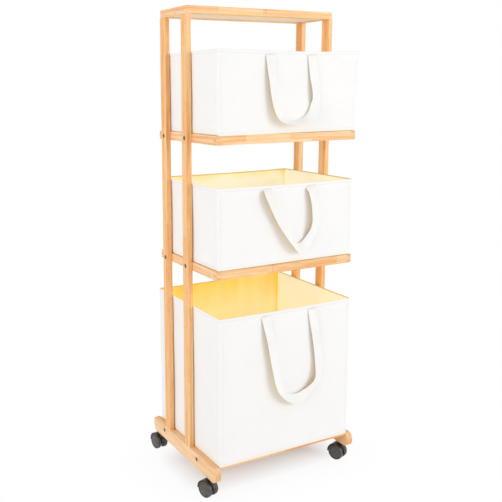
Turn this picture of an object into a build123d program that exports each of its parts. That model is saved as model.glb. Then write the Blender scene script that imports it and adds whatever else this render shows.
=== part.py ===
from build123d import *
import math
import os

# Rolling laundry sorter: a bamboo tower on four twin-wheel casters that holds three removable cloth bags.
# Frame: X across the front, Y from front to back, Z up. The origin is on the floor, under the middle.

os.makedirs("parts", exist_ok=True)

# ---- driving dimensions, mm ----
WIDTH = 476.0                 # over the outer faces of the posts
HEIGHT = 1334.0               # floor to the top of the top frame
POST_W, POST_D = 15.0, 30.0   # post section, across and front to back
POST_PITCH = 127.0            # front post to back post, centre to centre
POST_Y = 31.0                 # the pair of posts stands a little behind the middle
EASE = 1.2                    # eased edge of the bamboo

CASTER_H = 56.0               # floor to the underside of the feet
FOOT_W, FOOT_H = 18.0, 42.0
FOOT_FRONT, FOOT_BACK = -200.0, 194.0
FOOT_NOSE_TOP_R, FOOT_NOSE_R = 19.0, 17.0   # rounding of the front end
FOOT_HEEL_TOP_R, FOOT_HEEL_R = 6.0, 17.0

TOP_H, TOP_T = 20.0, 15.0     # top frame rail, high and thick
TOP_CORNER_R = 6.0
TOP_GROOVE, TOP_LIP = 4.0, 3.0   # depth of the groove for the panel, and the wood left under it

TIER_H, TIER_T = 24.0, 15.0   # tier frame rail, high and thick
TIER_FRONT, TIER_BACK = -181.0, 151.0
TIER_TOPS = {"upper": 1004.0, "lower": 651.0}
FINGERS = 3                   # box joint fingers in a rail's height
REBATE, PANEL_T = 7.0, 5.0    # the floor panels lie in a rebate, flush with the rails

BASE_T = 7.0                  # base board, flush with the top of the feet
BASE_FRONT, BASE_BACK = -189.0, 181.0
CROSS_W, CROSS_H = 18.0, 16.0
CROSS_Y = (-91.0, 120.0)
SAME_PLACE = 1.0              # a bolt nearer than this to a bar's middle line is that bar's

BOLT_R, BOLT_HEAD_R, BOLT_HEAD_T, HEX_KEY = 3.0, 6.0, 2.6, 4.0
BOLT_RIM, BOLT_PROUD, BOLT_SUNK = 0.6, 0.6, 1.0   # chamfer; heads proud of the posts, sunk in the feet
SOCKET_DEPTH = 0.7            # depth of the hex socket, as a share of the head
HEAD_PLAY = 0.2               # round a bolt head in its recess
INSERT_R, INSERT_L = 5.0, 12.0
BARREL_R, BARREL_L = 5.0, 14.0
BARREL_INSET = 26.0           # barrel nut from the end of its cross rail
BOLT_PAST, HOLE_PAST = 1.0, 8.0   # foot bolt past its barrel nut, and its hole past the nut's middle
DOWEL_R, DOWEL_L, DOWEL_PITCH = 3.0, 24.0, 15.0

WHEEL_R, WHEEL_IN, WHEEL_OUT = 23.5, 5.6, 17.4   # wheel radius, and its two faces from the middle
TREAD_R, CAP_T = 2.6, 3.6     # rounding of the tread, and the closed end of the wheel's bore
HUB_R, RIM_T = 7.0, 4.0       # hub and rim on the wheel's inner face
DISH, DISH_SLOPE = 3.0, 1.0   # hollow between them, and the run of its sloped sides
RIM_LINE = ((3.4, 0.0), (4.0, -1.2), (4.8, -1.2), (5.6, -0.3))   # outer face: in from the tread, and out
DOME = ((8.0, 0.5), (0.0, 0.7))                                  # its middle: radius, and out
TRAIL = 16.0                  # wheel axle behind the stem
AXLE_R, STEM_R, RUN = 3.0, 4.0, 0.05             # RUN is the play round a running pin
AXLE_PLAY = 0.4               # the axle's end from the closed end of its bore
WEB_PLAY, WEB_EDGE = 0.8, 5.0  # the hood's web from a wheel's inner face, and in from the tread
HOOD_R, HOOD_T, HOOD_HALF = 25.2, 2.0, 16.4      # fender radius, wall and half width
HOOD_FROM, HOOD_TO = -6.0, 122.0                 # fender's ends, degrees up from the back
FAN_PARTS = 3                 # triangles in the fan that cuts the fender's ends
STEM_UP, STEM_DOWN = 26.0, 11.0
BOSS_R, BOSS_WALL, BOSS_GAP = 7.0, 2.0, 1.0      # boss round the stem, its floor, and its gap to the foot
FLANGE_R, FLANGE_T = 7.5, 0.8
SLEEVE_R, SLEEVE_L = 5.5, 28.0
CASTERS = {                   # stem place and the way each caster is turned, degrees
    "front_left": (-1, -167.0, 16.0),
    "front_right": (1, -167.0, 20.0),
    "back_left": (-1, 159.0, 6.0),
    "back_right": (1, 159.0, 38.0),
}

CLOTH, BAG_CORNER = 2.4, 7.0
BAG_HALF_W = 221.5            # at the rim, between the posts
BAG_DRAW = 3.5                # each wall draws in by this much at the bottom
BAG_LIFT = 0.4                # the bag's bottom above the panel
BOARD_T, BOARD_PLAY = 3.0, 1.0   # stiffening board inside the bag's bottom, and its gap to the walls
BAGS = {                      # floor it stands on, height, front and back of its rim
    "upper": (TIER_TOPS["upper"], 214.0, -183.0, 149.0),
    "middle": (TIER_TOPS["lower"], 219.0, -182.0, 149.0),
    "bottom": (CASTER_H + FOOT_H, 426.0, -194.0, 177.0),
}
WEB_W, WEB_T = 32.0, 2.4      # handle webbing
HANDLE_GAP = 1.2              # webbing off the cloth
HANDLES = {                   # middle and half spread of the loop's ends and of its bend, and length
    "upper": (1.0, 63.0, 22.0, 50.0, 180.0),
    "middle": (-3.0, 75.0, 38.0, 46.0, 182.0),
    "bottom": (1.0, 79.0, 44.0, 56.0, 262.0),
}
HANDLE_DROP = 10.0            # top of the webbing under the rim

FOOT_TOP = CASTER_H + FOOT_H
POST_TOP = HEIGHT - TOP_H
HALF_W = WIDTH / 2
IN_HALF = HALF_W - POST_W     # half the clear width between the posts
HALF_D = (POST_PITCH + POST_D) / 2


# ---- small helpers ----
def block(x, y, z):
    """A box from its limits along each axis."""
    size = [b - a for a, b in (x, y, z)]
    middle = [(a + b) / 2 for a, b in (x, y, z)]
    return Pos(*middle) * Box(*size)


def rod(radius, start, direction, length):
    """A round bar from a point along a direction."""
    plane = Plane(origin=start, z_dir=direction)
    return extrude(plane * Circle(radius), amount=length)


def eased(solid, axis, radius=EASE):
    """The long edges of a bar along one axis, eased."""
    return fillet(solid.edges().filter_by(axis), radius)


def solids(shapes):
    """Several solids as one node."""
    return Compound(children=[s for shape in shapes for s in shape.solids()])


def save(name, shape):
    """Writes one node."""
    shape.label = name
    export_step(shape, f"parts/{name}.step")


# ---- frame ----
def post_xy(side, end):
    """Centre of a post; side and end are -1 or 1."""
    return side * (HALF_W - POST_W / 2), POST_Y + end * POST_PITCH / 2


def dowel_points(side, end, z):
    """The two dowel places in a post's end."""
    x, y = post_xy(side, end)
    return [(x, y + k * DOWEL_PITCH / 2, z) for k in (-1, 1)]


def dowel(point):
    """A dowel, half of it each side of the joint at the point."""
    x, y, z = point
    return rod(DOWEL_R, (x, y, z - DOWEL_L / 2), (0, 0, 1), DOWEL_L)


def tier_bolt_points():
    """Where the tier bolts enter: on the outer face of each post, at the middle of each tier."""
    return [
        (side * HALF_W, POST_Y + end * POST_PITCH / 2, top - TIER_H / 2, -side)
        for top in TIER_TOPS.values()
        for side in (-1, 1)
        for end in (-1, 1)
    ]


def post(side, end):
    """One post, with its dowel holes, and with a bolt hole and head recess at each tier."""
    x, y = post_xy(side, end)
    bar = block((x - POST_W / 2, x + POST_W / 2), (y - POST_D / 2, y + POST_D / 2), (FOOT_TOP, POST_TOP))
    bar = eased(bar, Axis.Z)
    for z in (FOOT_TOP, POST_TOP):
        for point in dowel_points(side, end, z):
            bar -= dowel(point)
    for px, py, pz, inward in tier_bolt_points():
        if px * side > 0 and abs(py - y) < SAME_PLACE:
            bar -= rod(BOLT_R, (px, py, pz), (inward, 0, 0), POST_W)
            bar -= rod(BOLT_HEAD_R + HEAD_PLAY, (px, py, pz), (inward, 0, 0), BOLT_HEAD_T - BOLT_PROUD)
    return bar


def foot(side):
    """One foot, with its dowel, bolt and caster holes."""
    outer = side * HALF_W
    inner = side * (HALF_W - FOOT_W)
    bar = block(sorted((outer, inner)), (FOOT_FRONT, FOOT_BACK), (CASTER_H, FOOT_TOP))
    across = bar.edges().filter_by(Axis.X).sort_by(Axis.Y)
    nose, heel = across[:2].sort_by(Axis.Z), across[2:].sort_by(Axis.Z)
    rounds = (FOOT_NOSE_R, FOOT_NOSE_TOP_R, FOOT_HEEL_R, FOOT_HEEL_TOP_R)
    for corner, radius in zip([e.center() for e in (*nose, *heel)], rounds):
        bar = fillet(bar.edges().filter_by(Axis.X).sort_by_distance(corner)[0], radius)
    for end in (-1, 1):
        for point in dowel_points(side, end, FOOT_TOP):
            bar -= dowel(point)
    for y in CROSS_Y:
        z = cross_z()
        bar -= rod(BOLT_R, (outer, y, z), (-side, 0, 0), FOOT_W)
        bar -= rod(BOLT_HEAD_R + 2 * HEAD_PLAY, (outer, y, z), (-side, 0, 0), BOLT_HEAD_T + BOLT_SUNK)
    for s, y, _ in CASTERS.values():
        if s == side:
            bar -= rod(SLEEVE_R, (stem_x(s), y, CASTER_H), (0, 0, 1), SLEEVE_L)
    return bar


def cross_z():
    """Height of the middle of the cross rails."""
    return FOOT_TOP - BASE_T - CROSS_H / 2


def cross_rail(y):
    """One rail between the feet, under the base board, with its bolt and barrel nut holes."""
    end = HALF_W - FOOT_W
    z = cross_z()
    bar = block((-end, end), (y - CROSS_W / 2, y + CROSS_W / 2), (z - CROSS_H / 2, z + CROSS_H / 2))
    bar = eased(bar, Axis.X)
    for side in (-1, 1):
        bar -= rod(BOLT_R, (side * end, y, z), (-side, 0, 0), BARREL_INSET + HOLE_PAST)
        bar -= rod(BARREL_R, (side * (end - BARREL_INSET), y, z - CROSS_H / 2), (0, 0, 1), BARREL_L)
    return bar


def base_board():
    """The board that the bottom bag stands on, between the feet."""
    end = HALF_W - FOOT_W
    board = block((-end, end), (BASE_FRONT, BASE_BACK), (FOOT_TOP - BASE_T, FOOT_TOP))
    return eased(board, Axis.X)


def top_wedge(points):
    """The space between two mitre cuts, from its corners about the middle of the top frame."""
    return Pos(0, POST_Y, 0) * extrude(make_face(Polyline(*points, close=True)), amount=2 * HEIGHT)


def top_ring():
    """The whole top frame before it is cut at the mitres: rounded corners and a groove for the panel."""
    outline = RectangleRounded(WIDTH, 2 * HALF_D, TOP_CORNER_R)
    hole = Rectangle(WIDTH - 2 * TOP_T, 2 * HALF_D - 2 * TOP_T)
    ring = Pos(0, POST_Y, POST_TOP) * extrude(outline - hole, amount=TOP_H)
    rims = ring.edges().group_by(Axis.Z)
    ring = fillet(rims[0] + rims[-1], EASE)
    return ring - top_panel()


def top_panel():
    """The panel in the groove of the top frame."""
    low = POST_TOP + TOP_LIP
    half_x, half_y = HALF_W - TOP_T + TOP_GROOVE, HALF_D - TOP_T + TOP_GROOVE
    return block((-half_x, half_x), (POST_Y - half_y, POST_Y + half_y), (low, low + PANEL_T))


def top_rails():
    """The four mitred rails of the top frame, with the dowel holes over the posts."""
    ring = top_ring()
    for side in (-1, 1):
        for end in (-1, 1):
            for point in dowel_points(side, end, POST_TOP):
                ring -= dowel(point)
    reach = HALF_W - HALF_D
    front = ring & top_wedge([(-HALF_W, -HALF_D), (HALF_W, -HALF_D), (reach, 0), (-reach, 0)])
    left = ring & top_wedge([(-HALF_W, -HALF_D), (-reach, 0), (-HALF_W, HALF_D)])
    return {
        "top_front_rail": front,
        "top_back_rail": mirror(front, Plane(origin=(0, POST_Y, 0), z_dir=(0, 1, 0))),
        "top_left_rail": left,
        "top_right_rail": mirror(left, Plane.YZ),
    }


def finger_cuts(top, kept):
    """Heights of the fingers that a rail of a box joint gives up; kept is 0 for even ones, 1 for odd."""
    step = TIER_H / FINGERS
    return [(top - (i + 1) * step, top - i * step) for i in range(FINGERS) if i % 2 != kept]


def tier_panel(top):
    """The floor panel of a tier, in the rebate of its rails."""
    half = IN_HALF - TIER_T + REBATE
    front, back = TIER_FRONT + TIER_T - REBATE, TIER_BACK - TIER_T + REBATE
    return block((-half, half), (front, back), (top - PANEL_T, top))


def tier_side_rail(top, side):
    """A side rail: top and bottom fingers at both ends, a rebate, and inserts behind the posts."""
    outer, inner = side * IN_HALF, side * (IN_HALF - TIER_T)
    bar = block(sorted((outer, inner)), (TIER_FRONT, TIER_BACK), (top - TIER_H, top))
    for low, high in finger_cuts(top, 0):
        for y in ((TIER_FRONT, TIER_FRONT + TIER_T), (TIER_BACK - TIER_T, TIER_BACK)):
            bar -= block((min(outer, inner), max(outer, inner)), y, (low, high))
    bar -= tier_panel(top)
    for px, py, pz, inward in tier_bolt_points():
        if px * side > 0 and abs(pz - (top - TIER_H / 2)) < SAME_PLACE:
            bar -= rod(INSERT_R, (side * IN_HALF, py, pz), (inward, 0, 0), INSERT_L)
    return bar


def tier_end_rail(top, end):
    """A front or back rail: the middle finger at both ends, and a rebate."""
    outer = TIER_FRONT if end < 0 else TIER_BACK
    inner = outer - end * TIER_T
    bar = block((-IN_HALF, IN_HALF), sorted((outer, inner)), (top - TIER_H, top))
    for low, high in finger_cuts(top, 1):
        for x in ((-IN_HALF, TIER_T - IN_HALF), (IN_HALF - TIER_T, IN_HALF)):
            bar -= block(x, sorted((outer, inner)), (low, high))
    return bar - tier_panel(top)


# ---- fasteners ----
def bolt(start, inward, shank):
    """A hex-socket furniture bolt: a flat head with a chamfered rim, and a plain shank."""
    plane = Plane(origin=start, z_dir=(inward, 0, 0))
    head = plane * Cylinder(BOLT_HEAD_R, BOLT_HEAD_T, align=(Align.CENTER, Align.CENTER, Align.MIN))
    rim = head.edges().filter_by(GeomType.CIRCLE).sort_by(lambda e: (e.center() - Vector(*start)).length)[0]
    head = chamfer(rim, BOLT_RIM)
    socket = RegularPolygon(HEX_KEY / 2, 6, major_radius=False)
    head -= plane * extrude(socket, amount=BOLT_HEAD_T * SOCKET_DEPTH)
    return head + rod(BOLT_R, plane.origin + plane.z_dir * BOLT_HEAD_T, (inward, 0, 0), shank)


def tier_bolts():
    """The bolts through the posts into the tiers; the heads stand a little proud."""
    shank = POST_W + INSERT_L - 2 * BOLT_HEAD_T
    return [
        bolt((x - inward * BOLT_PROUD, y, z), inward, shank)
        for x, y, z, inward in tier_bolt_points()
    ]


def insert_nuts():
    """Threaded inserts in the side rails, one behind each tier bolt."""
    nuts = []
    for x, y, z, inward in tier_bolt_points():
        start = (inward * -IN_HALF, y, z)
        body = rod(INSERT_R, start, (inward, 0, 0), INSERT_L)
        nuts.append(body - rod(BOLT_R, start, (inward, 0, 0), INSERT_L))
    return nuts


def foot_bolts():
    """The bolts through the feet into the cross rails; the heads lie in recesses."""
    shank = FOOT_W - BOLT_SUNK - BOLT_HEAD_T + BARREL_INSET + BARREL_R + BOLT_PAST
    return [
        bolt((side * (HALF_W - BOLT_SUNK), y, cross_z()), -side, shank)
        for side in (-1, 1)
        for y in CROSS_Y
    ]


def barrel_nuts():
    """The barrel nuts across the cross rails that the foot bolts pull on."""
    nuts = []
    for side in (-1, 1):
        for y in CROSS_Y:
            x = side * (HALF_W - FOOT_W - BARREL_INSET)
            z = cross_z()
            body = rod(BARREL_R, (x, y, z - CROSS_H / 2), (0, 0, 1), BARREL_L)
            nuts.append(body - rod(BOLT_R, (x - BARREL_R, y, z), (1, 0, 0), 2 * BARREL_R))
    return nuts


# ---- casters ----
def stem_x(side):
    """The stems stand in the middle of the feet."""
    return side * (HALF_W - FOOT_W / 2)


def at_caster(name):
    """Place of a caster: its stem on the underside of the foot, turned as it stands."""
    side, y, turn = CASTERS[name]
    return Location((stem_x(side), y, CASTER_H), (0, 0, turn))


AXLE_Z = WHEEL_R - CASTER_H   # axle below the underside of the foot


def wheel(side):
    """A moulded wheel: round-shouldered tread, rim line, domed closed face and hollow inner face."""
    inner_face = [
        (AXLE_R + RUN, WHEEL_IN),
        (HUB_R, WHEEL_IN),
        (HUB_R + DISH_SLOPE, WHEEL_IN + DISH),
        (WHEEL_R - RIM_T - DISH_SLOPE, WHEEL_IN + DISH),
        (WHEEL_R - RIM_T, WHEEL_IN),
        (WHEEL_R - TREAD_R, WHEEL_IN),
    ]
    outer_face = [
        (WHEEL_R - TREAD_R, WHEEL_OUT),
        *[(WHEEL_R - inward, WHEEL_OUT + out) for inward, out in RIM_LINE],
        *[(radius, WHEEL_OUT + out) for radius, out in DOME],
        (0, WHEEL_OUT - CAP_T),
        (AXLE_R + RUN, WHEEL_OUT - CAP_T),
        inner_face[0],
    ]
    low, high = (WHEEL_R, WHEEL_IN + TREAD_R), (WHEEL_R, WHEEL_OUT - TREAD_R)
    section = make_face(
        Curve()
        + [
            Polyline(*inner_face),
            RadiusArc(inner_face[-1], low, -TREAD_R),
            Line(low, high),
            RadiusArc(high, outer_face[0], -TREAD_R),
            Polyline(*outer_face),
        ]
    )
    turned = Rot(0, 0, -90) * revolve(section, Axis.Y)      # turned about Y, then its axle laid along X
    if side < 0:
        turned = mirror(turned, Plane.YZ)
    return Pos(0, TRAIL, AXLE_Z) * turned


def axle():
    """The steel pin that both wheels run on, short of the closed ends of their bores."""
    half = WHEEL_OUT - CAP_T - AXLE_PLAY
    return rod(AXLE_R, (-half, TRAIL, AXLE_Z), (1, 0, 0), 2 * half)


def disc(radius, half):
    """A disc about the axle, with its faces at half its thickness each side of the middle."""
    side_plane = Plane(origin=(0, 0, 0), x_dir=(0, 1, 0), z_dir=(1, 0, 0))
    return extrude(side_plane * (Pos(TRAIL, AXLE_Z) * Circle(radius)), amount=half, both=True)


def arc_point(degrees):
    """A point well outside the fender, at an angle about the axle up from the back of the caster."""
    reach = 2 * HOOD_R
    angle = math.radians(degrees)
    return (0, TRAIL + reach * math.cos(angle), AXLE_Z + reach * math.sin(angle))


def hood():
    """The moulded body: a web between the wheels, a boss round the stem and a fender over the treads."""
    web_half = WHEEL_IN - WEB_PLAY
    web = disc(WHEEL_R - WEB_EDGE, web_half)
    above = block((-web_half, web_half), (TRAIL - 2 * HOOD_R, TRAIL + 2 * HOOD_R), (AXLE_Z, 0))
    crown = disc(HOOD_R + HOOD_T, web_half) & above
    stops = [HOOD_FROM + k * (HOOD_TO - HOOD_FROM) / FAN_PARTS for k in range(FAN_PARTS + 1)]
    fan = make_face(Polyline((0, TRAIL, AXLE_Z), *[arc_point(d) for d in stops], close=True))
    sector = extrude(fan, amount=HOOD_HALF, dir=(1, 0, 0), both=True)
    fender = (disc(HOOD_R + HOOD_T, HOOD_HALF) - disc(HOOD_R, HOOD_HALF)) & sector
    upright = (Align.CENTER, Align.CENTER, Align.MAX)
    boss = Pos(0, 0, -BOSS_GAP) * Cylinder(BOSS_R, STEM_DOWN + BOSS_WALL - BOSS_GAP, align=upright)
    socket = Cylinder(STEM_R + RUN, STEM_DOWN + BOSS_WALL / 4, align=upright)
    return web + crown + fender + boss - socket - axle()


def stem(name):
    """The steel stem: a pin with a flange between foot and hood."""
    pin = rod(STEM_R, (0, 0, -STEM_DOWN), (0, 0, 1), STEM_DOWN + STEM_UP)
    flange = rod(FLANGE_R, (0, 0, -FLANGE_T), (0, 0, 1), FLANGE_T)
    return at_caster(name) * (pin + flange)


def stem_sleeve(name):
    """The plastic sleeve in the foot that grips a stem."""
    tube = Cylinder(SLEEVE_R, SLEEVE_L, align=(Align.CENTER, Align.CENTER, Align.MIN))
    tube -= Cylinder(STEM_R, STEM_UP, align=(Align.CENTER, Align.CENTER, Align.MIN))
    return at_caster(name) * tube


# ---- bags ----
def bag_section(z, half_w, front, back, corner):
    """A rounded rectangle at a height."""
    middle = (front + back) / 2
    return Pos(0, middle, z) * RectangleRounded(2 * half_w, back - front, corner)


def bag_body(floor, height, front, back, inset, low):
    """A closed solid that widens from the bottom to the rim, inset from the outer face."""
    corner = BAG_CORNER - inset
    drawn = inset + BAG_DRAW
    bottom = bag_section(low, BAG_HALF_W - drawn, front + drawn, back - drawn, corner)
    rim = bag_section(floor + height, BAG_HALF_W - inset, front + inset, back - inset, corner)
    return loft([bottom, rim])


def bag(kind):
    """The cloth bag: walls and bottom, open at the top."""
    floor, height, front, back = BAGS[kind]
    low = floor + BAG_LIFT
    outer = bag_body(floor, height, front, back, 0.0, low)
    hollow = bag_body(floor, height, front, back, CLOTH, low + CLOTH)
    return outer - hollow


def bag_board(kind):
    """The stiffening board on the bottom of the bag."""
    floor, _, front, back = BAGS[kind]
    low = floor + BAG_LIFT + CLOTH
    inset = BAG_DRAW + CLOTH + BOARD_PLAY
    half = BAG_HALF_W - inset
    board = block((-half, half), (front + inset, back - inset), (low, low + BOARD_T))
    return fillet(board.edges().filter_by(Axis.Z), BAG_CORNER - CLOTH)


def handle(kind):
    """The webbing handle: two legs sewn on under the rim, and a round bend that hangs to the right."""
    floor, height, front, _ = BAGS[kind]
    middle, spread, bend_middle, bend, length = HANDLES[kind]
    top = floor + height - HANDLE_DROP
    half = WEB_W / 2
    turn = top - length + bend
    outer, inner = bend + half, bend - half
    left, right = (bend_middle - outer, turn), (bend_middle + outer, turn)
    left_in, right_in = (bend_middle - inner, turn), (bend_middle + inner, turn)
    left_top = [(middle - spread + k * half, top) for k in (-1, 1)]
    right_top = [(middle + spread + k * half, top) for k in (-1, 1)]
    band = make_face(
        Curve()
        + [
            Polyline(left, *left_top, left_in),
            RadiusArc(left_in, right_in, -inner),
            Polyline(right_in, *right_top, right),
            RadiusArc(right, left, outer),
        ]
    )
    face = Plane(origin=(0, front - HANDLE_GAP, 0), x_dir=(1, 0, 0), z_dir=(0, -1, 0))
    return extrude(face * band, amount=WEB_T)


def main():
    """Writes every node."""
    for side, hand in ((-1, "left"), (1, "right")):
        for end, place in ((-1, "front"), (1, "back")):
            save(f"post_{place}_{hand}", post(side, end))
        save(f"foot_{hand}", foot(side))
    for y, place in zip(CROSS_Y, ("front", "back")):
        save(f"base_cross_rail_{place}", cross_rail(y))
    save("base_board", base_board())
    for name, rail in top_rails().items():
        save(name, rail)
    save("top_panel", top_panel())
    for tier, top in TIER_TOPS.items():
        save(f"{tier}_tier_front_rail", tier_end_rail(top, -1))
        save(f"{tier}_tier_back_rail", tier_end_rail(top, 1))
        save(f"{tier}_tier_left_rail", tier_side_rail(top, -1))
        save(f"{tier}_tier_right_rail", tier_side_rail(top, 1))
        save(f"{tier}_tier_panel", tier_panel(top))
    ends = [(side, end, z) for side in (-1, 1) for end in (-1, 1) for z in (FOOT_TOP, POST_TOP)]
    save("post_dowels", solids(dowel(p) for end in ends for p in dowel_points(*end)))
    save("tier_bolts", solids(tier_bolts()))
    save("tier_insert_nuts", solids(insert_nuts()))
    save("foot_bolts", solids(foot_bolts()))
    save("foot_barrel_nuts", solids(barrel_nuts()))
    save("caster_stems", solids(stem(name) for name in CASTERS))
    save("caster_sleeves", solids(stem_sleeve(name) for name in CASTERS))
    for name in CASTERS:
        place = at_caster(name)
        save(f"caster_{name}_hood", place * hood())
        save(f"caster_{name}_axle", place * axle())
        for side, hand in ((-1, "left"), (1, "right")):
            save(f"caster_{name}_{hand}_wheel", place * wheel(side))
    for kind in BAGS:
        save(f"{kind}_bag", bag(kind))
        save(f"{kind}_bag_board", bag_board(kind))
        save(f"{kind}_bag_handle", handle(kind))


main()
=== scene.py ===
"""A rolling laundry sorter of laminated bamboo with three cloth bags, dressed for a pale studio.

The timber frame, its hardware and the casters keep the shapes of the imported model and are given
their finishes. The cloth bags, their stitching and their webbing handles are made here, each in place
of its plain solid.
"""

from __future__ import annotations

import logging
import math
from dataclasses import dataclass, field
from enum import Enum
from typing import Iterator, Sequence

import bmesh
import bpy
from bmesh.types import BMEdge, BMesh, BMVert
from bpy.types import Material, Node, NodeSocket, NodeTree, Object
from mathutils import Matrix, Vector, noise


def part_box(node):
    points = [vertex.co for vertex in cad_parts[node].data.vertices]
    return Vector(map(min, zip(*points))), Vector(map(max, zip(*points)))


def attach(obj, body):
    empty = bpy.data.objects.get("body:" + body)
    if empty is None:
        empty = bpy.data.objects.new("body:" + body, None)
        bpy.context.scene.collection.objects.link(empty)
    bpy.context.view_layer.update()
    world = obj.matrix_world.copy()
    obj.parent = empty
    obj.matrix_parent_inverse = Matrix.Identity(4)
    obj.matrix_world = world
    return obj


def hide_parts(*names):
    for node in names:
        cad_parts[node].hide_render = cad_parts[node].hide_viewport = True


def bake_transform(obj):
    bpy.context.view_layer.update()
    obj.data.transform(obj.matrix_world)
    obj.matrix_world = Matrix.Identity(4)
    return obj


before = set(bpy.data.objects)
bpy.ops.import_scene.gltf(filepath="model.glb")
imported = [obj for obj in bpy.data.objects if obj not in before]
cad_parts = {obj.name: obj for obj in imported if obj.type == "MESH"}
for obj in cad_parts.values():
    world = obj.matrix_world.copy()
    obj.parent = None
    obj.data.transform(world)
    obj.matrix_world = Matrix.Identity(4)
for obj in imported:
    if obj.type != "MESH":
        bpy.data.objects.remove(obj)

log = logging.getLogger("laundry_sorter")
MM = 0.001
WAVE_PERIOD = math.pi / 10  # of a wave texture at a scale of 1


class Grain(Enum):
    """The way the bamboo's fibres run in a board: across the front, front to back, or upright."""

    ACROSS = (1, 2, 0)
    DEEP = (0, 2, 1)
    UPRIGHT = (0, 1, 2)


class BagKind(Enum):
    """The three bags, named as their nodes are."""

    UPPER = "upper"
    MIDDLE = "middle"
    BOTTOM = "bottom"


# ---------------------------------------------------------------- small helpers


def linear(code: str) -> tuple[float, float, float, float]:
    """Turns an sRGB hex colour to linear.

    Args:
        code: six hex digits.

    Returns:
        Red, green, blue and an alpha of 1.
    """
    parts = [int(code[i : i + 2], 16) / 255 for i in (0, 2, 4)]
    channels = [c / 12.92 if c <= 0.04045 else ((c + 0.055) / 1.055) ** 2.4 for c in parts]
    return (channels[0], channels[1], channels[2], 1.0)


def add_node(
    tree: NodeTree,
    kind: str,
    inputs: Sequence[object] | dict[str | int, object] = (),
    **settings: object,
) -> Node:
    """Adds a node with its settings, then feeds its inputs.

    Args:
        tree: the node tree of a material or the world.
        kind: the node's type name after ShaderNode.
        inputs: what feeds each input, a socket or a plain value, in their order or by name.
        settings: the node's own properties.

    Returns:
        The new node.
    """
    node = tree.nodes.new(f"ShaderNode{kind}")
    for name, value in settings.items():
        setattr(node, name, value)
    for name, value in inputs.items() if isinstance(inputs, dict) else enumerate(inputs):
        if isinstance(value, NodeSocket):
            tree.links.new(value, node.inputs[name])
        else:
            node.inputs[name].default_value = value
    return node


def set_ramp(node: Node, stops: Sequence[tuple[float, str]]) -> NodeSocket:
    """Gives a colour ramp its stops.

    Args:
        node: the ramp.
        stops: each stop's place and hex colour, from the lowest up.

    Returns:
        The ramp's colour output.
    """
    elements = node.color_ramp.elements
    for place, _ in stops[1:-1]:
        elements.new(place)
    for element, (place, code) in zip(elements, stops):
        element.position = place
        element.color = linear(code)
    return node.outputs["Color"]


def smooth(low: float, high: float, value: float) -> float:
    """Rises from 0 at low to 1 at high, level at both ends."""
    t = min(1.0, max(0.0, (value - low) / (high - low)))
    return t * t * (3 - 2 * t)


def new_material(name: str) -> tuple[Material, NodeTree]:
    """Makes an empty node material.

    Args:
        name: what the finish is.

    Returns:
        The material and its tree.
    """
    material = bpy.data.materials.new(name)
    material.use_nodes = True
    material.node_tree.nodes.clear()
    return material, material.node_tree


def new_piece(name: str, bm: BMesh, *materials: Material) -> Object:
    """Turns a bmesh into a smooth-shaded object at the origin.

    Args:
        name: the piece's name.
        bm: the mesh, freed here.
        materials: its material slots in order.

    Returns:
        The object.
    """
    mesh = bpy.data.meshes.new(name)
    bm.to_mesh(mesh)
    bm.free()
    for polygon in mesh.polygons:
        polygon.use_smooth = True
    for material in materials:
        mesh.materials.append(material)
    piece = bpy.data.objects.new(name, mesh)
    bpy.context.scene.collection.objects.link(piece)
    return piece


# ---------------------------------------------------------------- finishes


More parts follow.
